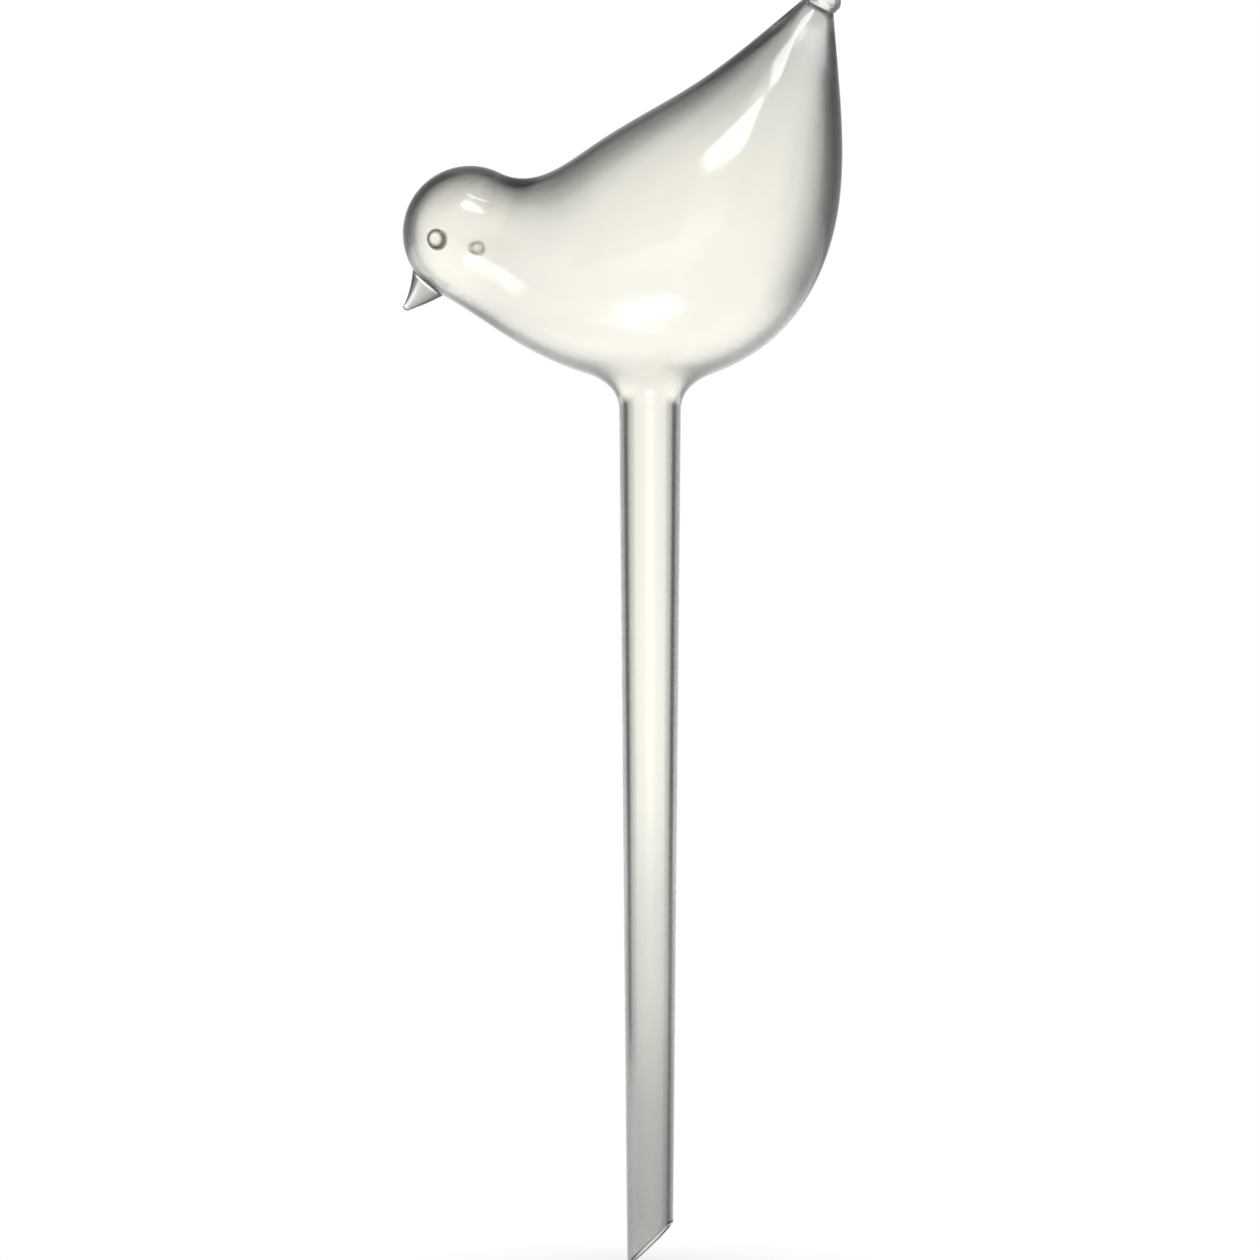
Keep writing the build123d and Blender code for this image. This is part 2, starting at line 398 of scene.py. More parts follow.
def turned(angle):
    """Unit way (X, Z) at an angle from level at the tail side, turning up."""
    return np.array([np.cos(angle), np.sin(angle)])


def unit(way):
    """A way at length 1."""
    return way / np.linalg.norm(way)


def full_turn(count):
    """Angles of a number of even steps round a circle."""
    return np.arange(count) * 2 * np.pi / count


class Bird:
    """The bird's skin as a function of a place along it and a turn round it.

    Places from 0 to 1 run over the head's ball from its front pole to its widest ring, and places
    from 1 to 2 run along the body to the end of the tail.  Each ring is hung between a point of the
    back line and a point of the belly line, both moved into the glass by the wall.
    """

    def __init__(self, sizes):
        self.middle = np.array([-sizes.head_reach, sizes.head_height])
        self.radius = sizes.head_diameter / 2
        self.walls = (sizes.head_wall, sizes.belly_wall, sizes.tail_wall, sizes.end_wall)
        back = [
            self.middle + self.radius * turned(BACK_LEAVES_HEAD),
            self.middle + (self.radius + NAPE_STANDOFF) * turned(NAPE_ANGLE),
        ]
        back += [np.array(place) * MM for place in (SADDLE, BACK, TAIL_SLOPE, TAIL_TOP)]
        belly = [self.middle + self.radius * turned(BREAST_LEAVES_HEAD)]
        belly += [np.array(place) * MM for place in (BREAST, BELLY, FLANK, RUMP, TAIL_ROOT, TAIL_UNDER)]
        quarter = math.pi / 2
        self.back = outline_curve(
            np.array(back), turned(BACK_LEAVES_HEAD - quarter), unit(back[-1] - back[-2]))
        self.belly = outline_curve(
            np.array(belly), turned(BREAST_LEAVES_HEAD + quarter), unit(belly[-1] - belly[-2]))

    def wall(self, along):
        """Thickness of the glass: easing from the head's to the belly's, the tail's and the end's."""
        thickness = self.walls[0]
        for (start, end), before, after in zip(WALL_SPANS, self.walls, self.walls[1:]):
            thickness = thickness + (after - before) * ease((along - 1 - start) / (end - start))
        return thickness

    def outline(self, along, inner):
        """Points (X, Z) of the back line and the belly line, moved inwards by the wall if inner."""
        inset = self.wall(along) * inner
        turn = np.clip(along, 0, 1) * np.pi / 2
        pole = (BACK_LEAVES_HEAD + BREAST_LEAVES_HEAD) / 2
        share = np.clip(along - 1, 0, 1) * (OUTLINE_SAMPLES - 1)
        ball = (self.radius - inset)[..., None]
        rows = np.arange(OUTLINE_SAMPLES)
        sides = []
        for (line, way), side in ((self.back, -1), (self.belly, 1)):
            point = np.stack([np.interp(share, rows, line[:, k]) for k in (0, 1)], -1)
            slope = np.stack([np.interp(share, rows, way[:, k]) for k in (0, 1)], -1)
            normal = np.stack([-slope[..., 1], slope[..., 0]], -1) * side
            on_body = point + normal * inset[..., None]
            angle = pole + side * turn
            on_head = self.middle + ball * np.stack([np.cos(angle), np.sin(angle)], -1)
            sides.append(np.where((along > 1)[..., None], on_body, on_head))
        return sides

    @staticmethod
    def slimness(along):
        """Width of a ring from side to side, as a share of its height."""
        share = along - 1
        return 1 - SLIM_BY * ease(share / SLIM_AT) * (1 - ease((share - SLIM_AT) / (SLIM_END - SLIM_AT)))

    def skin(self, along, turn, inner=0):
        """Points (X, Y, Z): the ring's middle plus its half height by cos turn, and its width by sin turn."""
        upper, lower = self.outline(along, inner)
        middle = (upper + lower) / 2
        half = (upper - lower) / 2
        side = middle + half * np.cos(turn)[..., None]
        across = np.hypot(half[..., 0], half[..., 1]) * self.slimness(along) * np.sin(turn)
        return np.stack([side[..., 0], across, side[..., 1]], -1)

    def below(self, x, y, inner):
        """Points of the belly's skin straight over (x, y), found by Newton steps from the belly line."""
        near = np.searchsorted(self.belly[0][: OUTLINE_SAMPLES // 2, 0], x)
        along = 1 + near / (OUTLINE_SAMPLES - 1)
        turn = np.pi - y / BELLY_RADIUS
        for _ in range(SEARCH_ROUNDS):
            here = self.skin(along, turn, inner)
            by_along = (self.skin(along + SEARCH_STEP, turn, inner) - here) / SEARCH_STEP
            by_turn = (self.skin(along, turn + SEARCH_STEP, inner) - here) / SEARCH_STEP
            miss_x = x - here[..., 0]
            miss_y = y - here[..., 1]
            area = by_along[..., 0] * by_turn[..., 1] - by_along[..., 1] * by_turn[..., 0]
            along = along + (miss_x * by_turn[..., 1] - miss_y * by_turn[..., 0]) / area
            turn = turn + (by_along[..., 0] * miss_y - by_along[..., 1] * miss_x) / area
        return self.skin(along, turn, inner)


# Meshes


def grid_numbers(points, start=0):
    """Vertex numbers of a grid of points, in its rows, counted from a start."""
    rows, columns = points.shape[:2]
    return start + np.arange(rows * columns).reshape(rows, columns)


def strips(rows):
    """Faces between neighbouring rows of vertex numbers, each row closed into a ring."""
    after = np.roll(rows, -1, axis=1)
    return np.stack([rows[:-1], rows[1:], after[1:], after[:-1]], -1).reshape(-1, 4)


def fan(ring, hub):
    """Triangles from a ring of vertex numbers to a hub, facing as a strip from ring to hub would."""
    return np.stack([ring, np.full_like(ring, hub), np.roll(ring, -1)], -1)


def glass_piece(solid, slot, materials, points, faces, hollow_faces=(), weld_faces=(), crease=(), ring=None):
    """Mesh object in place of a solid; outer, hollow and weld faces take the materials in turn.

    Edges between two vertices of the weld faces or of the crease are sharp.  The ring, if given, is a
    number for each point, kept as the attribute of that name.
    """
    name = f"{solid}_glass"
    parts = (faces, hollow_faces, weld_faces)
    groups = [group for part in parts for group in part]
    counts = [sum(len(group) for group in part) for part in parts]
    used, index = np.unique(np.concatenate([group.ravel() for group in groups]), return_inverse=True)
    cuts = np.cumsum([group.size for group in groups])[:-1]
    corners = []
    for group, numbers in zip(groups, np.split(index, cuts)):
        corners += numbers.reshape(group.shape).tolist()
    mesh = bpy.data.meshes.new(name)
    mesh.from_pydata(points[used].tolist(), [], corners)
    for material in materials:
        mesh.materials.append(material)
    mesh.polygons.foreach_set("material_index", np.repeat(np.arange(len(parts), dtype=np.int32), counts))
    mesh.polygons.foreach_set("use_smooth", np.ones(len(corners), dtype=bool))
    mesh.update()
    rings = [np.ravel(group) for group in (*weld_faces, crease)]
    sharp = np.isin(used, np.concatenate(rings))
    ends = np.zeros(2 * len(mesh.edges), dtype=np.int32)
    mesh.edges.foreach_get("vertices", ends)
    mesh.edges.foreach_set("use_edge_sharp", sharp[ends].reshape(-1, 2).all(axis=1))
    if mesh.validate():
        raise RuntimeError(f"{name}: the mesh had faulty faces")
    if ring is not None:
        mesh.attributes.new("ring", "FLOAT", "POINT").data.foreach_set("value", ring[used])
    piece = bpy.data.objects.new(name, mesh)
    bpy.context.scene.collection.objects.link(piece)
    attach(piece, "root")
    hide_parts(solid)


def arc_bend(start, start_way, end, end_way, count):
    """Points of a cubic from start to end that leaves and arrives by the two ways, one row for each step."""
    part = np.linspace(0, 1, count + 1)[1:, None, None]
    first = start + start_way * BEND_HOLD
    second = end - end_way * BEND_HOLD
    return (
        start * (1 - part) ** 3 + first * 3 * part * (1 - part) ** 2
        + second * 3 * part**2 * (1 - part) + end * part**3
    )


def stem_taper(sizes):
    """How much the stem's outside radius grows with each metre of height."""
    return (sizes.stem_top - sizes.stem_tip) / 2 / sizes.stem_length


def neck_rows(bird, loop, sizes, inner):
    """Rows of points from a loop on the belly in to the neck's ring and down to the weld.

    Along each ray from the stem's axis, the first rows lie on the belly's skin between the loop and
    the ring, and the rest follow a quarter bend from the skin's slope to the stem's.  The hollow's
    neck is the outer one moved in by the stem's wall and up by the neck's, so that both bend alike,
    and its first rows ease from the belly's wall to that.
    """
    turn = np.arctan2(loop[:, 1], loop[:, 0])
    out = np.stack([np.cos(turn), np.sin(turn)], -1)
    reach = np.hypot(loop[:, 0], loop[:, 1])
    inset = sizes.stem_wall * inner
    width = sizes.neck_flare
    bore_radius = sizes.stem_top / 2 - inset
    part = np.linspace(0, 1, PATCH_ROWS + 1)[1:, None]
    radii = reach * (1 - part) + (bore_radius + width) * part
    flat = bird.below(radii * out[:, 0], radii * out[:, 1], inner)
    if inner:
        over = bird.below((radii + inset) * out[:, 0], (radii + inset) * out[:, 1], 0)
        flat[..., 2] += (over[..., 2] + sizes.neck_wall - flat[..., 2]) * ease(part)
    edge = bore_radius + width + inset + np.array([[0.0], [-SLOPE_STEP]])
    skin = bird.below(edge * out[:, 0], edge * out[:, 1], 0)
    slope = (skin[1] - skin[0]) / SLOPE_STEP
    ring = flat[-1]
    level = np.zeros((len(out), 1))
    weld = np.concatenate([out * bore_radius, level], -1)
    down = np.concatenate([-out * stem_taper(sizes), level - 1], -1) * ring[:, 2:3]
    bend = arc_bend(ring, slope * width, weld, down, FLARE_ROWS)
    return np.concatenate([flat, bend])


def neck_patch(along, points, numbers):
    """Loop of vertex numbers round the neck's patch, turning from +X to +Y, and which faces stay."""
    low = points[:, ROUND // 2, 0]
    body = np.nonzero((along >= 1) & (along <= NECK_BEFORE))[0]
    over_stem = body[np.searchsorted(low[body], 0.0)]
    first = over_stem - NECK_ROWS
    final = over_stem + NECK_ROWS
    left = ROUND // 2 - NECK_COLUMNS
    right = ROUND // 2 + NECK_COLUMNS
    keep = np.ones((len(along) - 1, ROUND), dtype=bool)
    keep[first:final, left:right] = False
    tailside = numbers[final, right:left:-1]
    far = numbers[final:first:-1, left]
    headside = numbers[first, left:right]
    near = numbers[first:final, right]
    return np.concatenate([tailside, far, headside, near]), keep.ravel()


def bird_bulb_mesh(sizes):
    """Points, outer faces, hollow faces and weld faces of the blown bulb.

    Skin and hollow are grids of places along the bird and turns round it, open where the neck goes
    down.  The hollow ends in a flat quarter ellipse, drawn in from its last ring.
    """
    bird = Bird(sizes)
    head = np.linspace(0, 1, HEAD_ROWS + 1)[1:-1]
    turn = full_turn(ROUND)
    along = np.concatenate([head, np.linspace(1, 2, BODY_ROWS + 1)])
    hollow_along = np.concatenate([head, np.linspace(1, 1 + sizes.cavity_share, BODY_ROWS + 1)])
    skin = bird.skin(*np.meshgrid(along, turn, indexing="ij"))
    hollow = bird.skin(*np.meshgrid(hollow_along, turn, indexing="ij"), inner=1)
    numbers = grid_numbers(skin)

    last = hollow[-1]
    hub = last.mean(axis=0)
    tailward = unit(np.cross([0, 1.0, 0], last[0] - last[ROUND // 2]))
    bow = np.linspace(0, np.pi / 2, END_ROWS + 1)[1:-1, None, None]
    end = hub + (last - hub) * np.cos(bow) + tailward * END_BOW * np.sin(bow)
    end_hub = hub + tailward * END_BOW

    skin_loop, skin_keep = neck_patch(along, skin, numbers)
    hollow_loop, hollow_keep = neck_patch(hollow_along, hollow, numbers)
    outside = neck_rows(bird, skin.reshape(-1, 3)[skin_loop], sizes, 0)
    inside = neck_rows(bird, hollow.reshape(-1, 3)[hollow_loop], sizes, 1)[::-1]

    pieces = [grid.reshape(-1, 3) for grid in (skin, hollow, outside, inside, end)]
    starts = np.concatenate([[0], np.cumsum([len(piece) for piece in pieces])])
    front_pole, hollow_pole, tail_pole, end_pole = starts[-1] + np.arange(4)
    front = bird.skin(np.zeros(1), np.zeros(1))
    hollow_front = bird.skin(np.zeros(1), np.zeros(1), inner=1)
    tail_hub = skin[-1].mean(axis=0)
    points = np.concatenate([*pieces, front, hollow_front, [tail_hub, end_hub]])

    hollow_numbers = starts[1] + numbers
    outside_rows = np.concatenate([skin_loop[None], grid_numbers(outside, starts[2])])
    inside_rows = np.concatenate([grid_numbers(inside, starts[3]), starts[1] + hollow_loop[None]])
    end_rows = np.concatenate([hollow_numbers[-1:], grid_numbers(end, starts[4])])
    faces = [
        strips(numbers)[skin_keep],
        strips(outside_rows),
        fan(numbers[0], front_pole)[:, ::-1],
    ]
    hollow_faces = [
        strips(hollow_numbers)[hollow_keep][:, ::-1],
        strips(inside_rows),
        strips(end_rows)[:, ::-1],
        fan(hollow_numbers[0], hollow_pole),
        fan(end_rows[-1], end_pole)[:, ::-1],
    ]
    weld = [
        strips(np.stack([outside_rows[-1], inside_rows[0]])),
        fan(numbers[-1], tail_pole),
    ]
    return points, faces, hollow_faces, weld


def stem_tube_mesh(sizes):
    """Points, outer faces, hollow faces and weld faces of the drawn tube.

    The walls are cones about Z.  Each column of points runs down the outer wall to the slanted cut,
    round the rim in a flat half ellipse and up the inner wall.
    """
    turn = full_turn(STEM_ROUND)
    top = sizes.stem_top / 2
    tip = sizes.stem_tip / 2
    taper = stem_taper(sizes)
    rise = math.tan(sizes.tip_slant)
    lift = TIP_LIP / math.cos(sizes.tip_slant)

    def wall_end(inset):
        """Height of the rim's edge over the slanted cut, at each turn round a cone."""
        height = np.full(STEM_ROUND, -sizes.stem_length)
        for _ in range(CUT_ROUNDS):
            radius = top - inset + taper * height
            height = (radius * np.cos(turn) + tip) * rise - sizes.stem_length
        return height + lift

    def cone(inset, height):
        """Ring of points on a cone, at a height for each turn."""
        radius = top - inset + taper * height
        return np.stack([radius * np.cos(turn), radius * np.sin(turn), height * np.ones(STEM_ROUND)], -1)

    outer_end = wall_end(0.0)
    inner_end = wall_end(sizes.stem_wall)
    down = (1 - np.cos(np.linspace(0, np.pi, STEM_ROWS + 1))) / 2
    outer = np.stack([cone(0.0, outer_end * part) for part in down])
    inner = np.stack([cone(sizes.stem_wall, inner_end * part) for part in down[::-1]])
    bow = np.linspace(0, np.pi, LIP_ROWS + 1)[1:-1, None, None]
    square = np.array([-math.sin(sizes.tip_slant), 0, math.cos(sizes.tip_slant)])
    middle = (outer[-1] + inner[0]) / 2
    rim = middle + (outer[-1] - middle) * np.cos(bow) - square * TIP_LIP * np.sin(bow)
    column = np.concatenate([outer, rim, inner])
    rows = grid_numbers(column)
    weld = strips(np.stack([rows[-1], rows[0]]))
    inside = len(outer) + len(rim)
    return column.reshape(-1, 3), [strips(rows[:inside + 1])], [strips(rows[inside:])], [weld]


def tail_nib_mesh(sizes):
    """Points, faces and base faces of the bead: a cone from the tail's ring to a ball, and the ball's cap."""
    bird = Bird(sizes)
    turn = full_turn(SMALL_ROUND)
    ring = bird.skin(np.full(SMALL_ROUND, 2.0), turn)
    hub = ring.mean(axis=0)
    upward = ring[0] - ring[SMALL_ROUND // 2]
    radius = np.linalg.norm(upward) / 2
    upward /= 2 * radius
    tailward = np.cross([0, 1.0, 0], upward)
    ball = sizes.nib_diameter / 2
    middle = hub + tailward * NIB_RISE - upward * NIB_LEAN
    around = np.outer(np.cos(turn), upward) + np.outer(np.sin(turn), [0, 1.0, 0])
    part = np.linspace(0, 1, CONE_ROWS + 1)[:, None, None]
    cone = hub + (middle - hub) * part + around * (radius + (ball - radius) * ease(part))
    bow = np.linspace(0, np.pi / 2, CAP_ROWS + 1)[1:-1, None, None]
    cap = middle + around * ball * np.cos(bow) + tailward * ball * np.sin(bow)
    column = np.concatenate([cone, cap])
    rows = grid_numbers(column)
    points = np.concatenate([column.reshape(-1, 3), [middle + tailward * ball], [hub]])
    return points, [strips(rows), fan(rows[-1], rows.size)], [fan(rows[0], rows.size + 1)[:, ::-1]]


def head_seat(sizes):
    """Middle of the head and the radius on which the beak and the eyes sit."""
    return np.array([-sizes.head_reach, 0, sizes.head_height]), sizes.head_diameter / 2 + SEAT_GAP


def melted_mesh(sizes, way, root, profile, bend=0.0):
    """Points, faces, root's ring and distances from the middle of a piece melted onto the head.

    The piece is turned about a way out of the head.  Its profile is a list of (distance along the way,
    radius), which narrows to a point; its seat is the head's ball within the root.  The bend is how far
    the middle between root and tip lies above the straight way; less than 0 is towards the throat.
    """
    middle, ball = head_seat(sizes)
    way = unit(np.asarray(way))
    first = unit(np.cross([0, 1.0, 0], way))
    second = np.cross(way, first)
    turn = full_turn(SMALL_ROUND)
    around = np.outer(np.cos(turn), first) + np.outer(np.sin(turn), second)
    seat_radius = np.linspace(0, root, SEAT_ROWS)[1:]
    seat = np.stack([np.sqrt(ball**2 - seat_radius**2), seat_radius], -1)
    profile = np.concatenate([seat, profile])
    share = np.clip((profile[:, :1] - seat[-1, 0]) / (profile[-1, 0] - seat[-1, 0]), 0, 1)
    aside = 4 * bend * share * (1 - share) * first
    column = middle + profile[:, None, :1] * way + profile[:, None, 1:] * around + aside[:, None]
    rows = grid_numbers(column)
    (before, wider), (along, radius) = profile[-2:]
    tip = along + (along - before) * radius / (wider + radius)
    points = np.concatenate([column.reshape(-1, 3), [middle + way * ball, middle + way * tip]])
    faces = [strips(rows)[:, ::-1], fan(rows[-1], rows.size + 1)[:, ::-1], fan(rows[0], rows.size)]
    ring = np.concatenate([np.repeat(profile[:, 1] / root, SMALL_ROUND), [0.0, 0.0]])
    return points, faces, rows[len(seat) - 1], ring


def beak_mesh(sizes):
    """Points, faces, root and ring of the beak: its sides drawn in along a hollow arc to a round tip."""
    _, ball = head_seat(sizes)
    root = sizes.beak_root / 2
    tip = sizes.beak_tip / 2
    start = math.sqrt(ball**2 - root**2)
    end = sizes.head_diameter / 2 + sizes.beak_length - tip
    part = np.linspace(0, 1, BEAK_ROWS + 1)[1:-1]
    along = start + (end - start) * part
    radius = root + (tip - root) * part - 4 * BEAK_HOLLOW * part * (1 - part)
    bow = np.linspace(0, np.pi / 2, BEAK_TIP_ROWS + 1)[:-1]
    rounded = np.stack([end + tip * np.sin(bow), tip * np.cos(bow)], -1)
    profile = np.concatenate([np.stack([along, radius], -1), rounded])
    way = [-math.cos(BEAK_DROP), 0, -math.sin(BEAK_DROP)]
    return melted_mesh(sizes, way, root, profile, BEAK_BEND)


def eye_mesh(sizes, diameter, side):
    """Points, faces, root and ring of an eye: a low dome, part of a ball; side is -1 or 1 along Y."""
    _, ball = head_seat(sizes)
    way = [-EYE_FORWARD, side * math.sqrt(ball**2 - EYE_FORWARD**2 - EYE_DROP**2), -EYE_DROP]
    root = diameter / 2
    seat = math.sqrt(ball**2 - root**2)
    height = ball + sizes.eye_height - seat
    dome = (root**2 + height**2) / (2 * height)
    widest = math.asin(min(1.0, root / dome))
    if dome < height:
        widest = math.pi - widest
    bow = np.linspace(widest, 0, EYE_ROWS + 1)[1:-1]
    centre = seat + height - dome
    profile = np.stack([centre + dome * np.cos(bow), dome * np.sin(bow)], -1)
    return melted_mesh(sizes, way, root, profile)


# Nodes


def node(tree, kind, inputs=None, **attributes):
    """New node of a kind, with its attributes set and its inputs linked to sockets or set to plain values.

    Nodes are set out in rows, in the order in which they are made.
    """
    made = tree.nodes.new(kind)
    row, column = divmod(len(tree.nodes) - 1, NODES_IN_ROW)
    made.location = (NODE_WIDTH * column, -NODE_HEIGHT * row)
    for name, value in attributes.items():
        setattr(made, name, value)
    for name, value in (inputs or {}).items():
        if isinstance(value, bpy.types.NodeSocket):
            tree.links.new(value, made.inputs[name])
        else:
            made.inputs[name].default_value = value
    return made


def math_node(tree, operation, *values):
    """Socket with the outcome of an operation on sockets or plain numbers."""
    return node(tree, "ShaderNodeMath", dict(enumerate(values)), operation=operation).outputs[0]


def vector_node(tree, operation, *values):
    """Node with the outcome of an operation on sockets or plain vectors."""
    return node(tree, "ShaderNodeVectorMath", dict(enumerate(values)), operation=operation)


def split_node(tree, vector):
    """Sockets X, Y and Z of a vector."""
    return node(tree, "ShaderNodeSeparateXYZ", {0: vector}).outputs


def map_range(tree, value, before, after=(0.0, 1.0), kind="SMOOTHSTEP"):
    """Socket with a value carried from one span of numbers to another, eased unless the kind is LINEAR."""
    inputs = {
        "Value": value, "From Min": before[0], "From Max": before[1], "To Min": after[0], "To Max": after[1],
    }
    return node(tree, "ShaderNodeMapRange", inputs, interpolation_type=kind).outputs[0]


def mix_colour(tree, factor, first, second, blend="MIX"):
    """Socket with a mix of two colours by a factor, each a socket or a plain value."""
    inputs = {"Factor": factor, "A": first, "B": second}
    return node(tree, "ShaderNodeMix", inputs, data_type="RGBA", blend_type=blend).outputs["Result"]


def mix_shader(tree, factor, first, second):
    """Node that mixes the light of two shader nodes."""
    inputs = {0: factor, 1: first.outputs[0], 2: second.outputs[0]}
    return node(tree, "ShaderNodeMixShader", inputs)


def ramp_colour(tree, value, stops, tint=(1.0, 1.0, 1.0)):
    """Socket with a value's colour on a ramp of (place, level) stops.

    The darker a stop is, the more it takes on of the tint.
    """
    ramp = node(tree, "ShaderNodeValToRGB", {"Fac": value})
    elements = ramp.color_ramp.elements
    for spot, _ in stops[1:-1]:
        elements.new(spot)
    for element, (spot, level) in zip(elements, stops):
        element.position = spot
        element.color = (*(level * (level + (1 - level) * share) for share in tint), 1.0)
    return ramp.outputs["Color"]


def new_material(name):
    """New material and its node tree, with no nodes in it."""
    material = bpy.data.materials.new(name)
    material.use_nodes = True
    material.node_tree.nodes.clear()
    return material, material.node_tree


# Materials


def drawn_glass_group():
    """Node group of the marks that drawing and blowing leave in glass.

    Long waves along the stem's axis and slow swells give a height; fine haze gives a roughness; and
    a slow drift gives how much of the glass's tint shows.
    """
    name = "Drawn glass"
    if name in bpy.data.node_groups:
        return bpy.data.node_groups[name]
    group = bpy.data.node_groups.new(name, "ShaderNodeTree")
    for label, default in (("Stretch", 1.0), ("Swell Size", DRAWN_SWELL), ("Haze", POLISHED_HAZE)):
        socket = group.interface.new_socket(label, in_out="INPUT", socket_type="NodeSocketFloat")
        socket.default_value = default
    for label in ("Height", "Roughness", "Drift"):
        group.interface.new_socket(label, in_out="OUTPUT", socket_type="NodeSocketFloat")
    begin = node(group, "NodeGroupInput").outputs
    place = node(group, "ShaderNodeTexCoord").outputs["Object"]
    stretch = node(group, "ShaderNodeCombineXYZ", {"X": 1.0, "Y": 1.0, "Z": begin["Stretch"]})
    drawn = vector_node(group, "MULTIPLY", place, stretch.outputs[0])
    swells = {"Vector": drawn.outputs[0], "Scale": begin["Swell Size"], "Detail": 1.0, "Roughness": 0.4}
    waves = node(group, "ShaderNodeTexNoise", swells)
    haze = node(group, "ShaderNodeTexNoise", {"Vector": place, "Scale": HAZE_SCALE, "Detail": 2.0})
    rough = math_node(group, "MULTIPLY", haze.outputs[0], begin["Haze"])
    drift = node(group, "ShaderNodeTexNoise", {"Vector": place, "Scale": DRIFT_SCALE, "Detail": 1.0})
    results = {"Height": waves.outputs[0], "Roughness": rough, "Drift": drift.outputs[0]}
    node(group, "NodeGroupOutput", results)
    return group


def painted_rim_shade(tree, colours, rims):
    """Socket with painted shade for the outer wall's colour, darker the more edge on the wall faces the eye.

    A rim's first side holds for upright walls, and each next one takes its place over a span of the
    normal's part along an axis, such as walls that hang over the bright floor, which get lighter painted
    shade; a side with a span across holds only where the normal leans that little to the left or right.
    Over its rise, a span of heights, a rim takes the place of the one before it.  Back faces are left
    clear of painted shade, because the front face has had it already.
    """
    facing = node(tree, "ShaderNodeLayerWeight", {"Blend": 0.5}).outputs["Facing"]
    coordinates = node(tree, "ShaderNodeTexCoord").outputs
    place = split_node(tree, coordinates["Object"])
    slope = split_node(tree, coordinates["Normal"])
    across = math_node(tree, "ABSOLUTE", slope["Y"])
    shade = None
    for rim in rims:
        side_shade = None
        for side in rim["sides"]:
            colour = ramp_colour(tree, facing, side["stops"], colours.rim)
            if side_shade is not None:
                turned_there = map_range(tree, slope[side["axis"]], side["span"])
                if "across" in side:
                    midway = map_range(tree, across, side["across"])
                    turned_there = math_node(tree, "MULTIPLY", turned_there, midway)
                colour = mix_colour(tree, turned_there, side_shade, colour)
            side_shade = colour
        if shade is not None:
            above = map_range(tree, place["Z"], rim["rise"])
            side_shade = mix_colour(tree, above, shade, side_shade)
        shade = side_shade
    behind = node(tree, "ShaderNodeNewGeometry").outputs["Backfacing"]
    return mix_colour(tree, behind, shade, CLEAR)


def painted_ring_shade(tree, colours, stops):
    """Socket with the painted shade of a dot of glass, a dark ring, by the distance from its middle."""
    ring = node(tree, "ShaderNodeAttribute", attribute_name="ring")
    return ramp_colour(tree, ring.outputs["Fac"], stops, colours.rim)


def height_colour(tree, tint, stops):
    """Socket with a colour that changes with the height, through stops of (millimetres, level); on the stem
    it is painted shade.
    """
    place = split_node(tree, node(tree, "ShaderNodeTexCoord").outputs["Object"])
    low = stops[0][0]
    span = stops[-1][0] - low
    share = math_node(tree, "MULTIPLY_ADD", place["Z"], 1 / (span * MM), -low / span)
    return ramp_colour(tree, share, [((height - low) / span, level) for height, level in stops], tint)


def glass_material(
        name, colours, swell, ripple, stretch=1.0, haze=POLISHED_HAZE, ior=GLASS_IOR,
        rims=(), ring=(), heights=(), tint=None):
    """Clear glass: light passes almost untinted face on, with painted shade along the edges of the walls."""
    if name in bpy.data.materials:
        return bpy.data.materials[name]
    material, tree = new_material(name)
    values = {"Stretch": stretch, "Swell Size": swell, "Haze": haze}
    marks = node(tree, "ShaderNodeGroup", values, node_tree=drawn_glass_group()).outputs
    dents = {"Strength": ripple, "Distance": BUMP_HEIGHT, "Height": marks["Height"]}
    bump = node(tree, "ShaderNodeBump", dents)
    paler = [min(1.0, share * TINT_DRIFT) for share in colours.glass]
    colour = mix_colour(tree, marks["Drift"], (*colours.glass, 1.0), (*paler, 1.0))
    # Painted shade: darker edges, the stem's greying towards its tip and the eyes' dark rings; and the tail's
    # tint by height
    if rims:
        colour = mix_colour(tree, 1.0, colour, painted_rim_shade(tree, colours, rims), "MULTIPLY")
    if heights:
        colour = mix_colour(tree, 1.0, colour, height_colour(tree, tint, heights), "MULTIPLY")
    if ring:
        colour = mix_colour(tree, 1.0, colour, painted_ring_shade(tree, colours, ring), "MULTIPLY")
    glass = node(tree, "ShaderNodeBsdfPrincipled", {
        "Base Color": colour, "Roughness": marks["Roughness"], "Normal": bump.outputs["Normal"],
        "Transmission Weight": 1.0, "IOR": ior, "Metallic": 0.0,
    })
    node(tree, "ShaderNodeOutputMaterial", {"Surface": glass.outputs[0]})
    return material


def blown_glass(colours):
    """The bulb's outside, with painted shade along its edges, and whose tail is thicker and greyer."""
    return glass_material(
        "blown_glass", colours, swell=BLOWN_SWELL, ripple=0.01, rims=(STEM_RIM, BLOWN_RIM, TAIL_RIM),
        heights=TAIL_TINT, tint=TAIL_COLOUR)


def drawn_glass(colours):
    """The stem's outside, drawn lengthways, with painted shade along its edges that also greys it towards the
    tip.
    """
    return glass_material(
        "drawn_glass", colours, swell=DRAWN_SWELL, ripple=0.002, stretch=DRAWN_STRETCH,
        rims=(TIP_RIM, LOW_STEM_RIM, STEM_RIM), heights=STEM_PAINTED_SHADE, tint=colours.rim)


def bead_glass(colours):
    """The bead, melted round and darkened by painted shade, most towards its edges."""
    return glass_material(
        "melted_glass", colours, swell=MELTED_SWELL, ripple=0.01, ior=BEAD_IOR, rims=(BEAD_RIM,))


def beak_glass(colours):
    """The beak, drawn to a point, with painted shade darkening its edges."""
    return glass_material(
        "beak_glass", colours, swell=MELTED_SWELL, ripple=0.01, ior=BEAK_IOR, rims=(BEAK_RIM,))


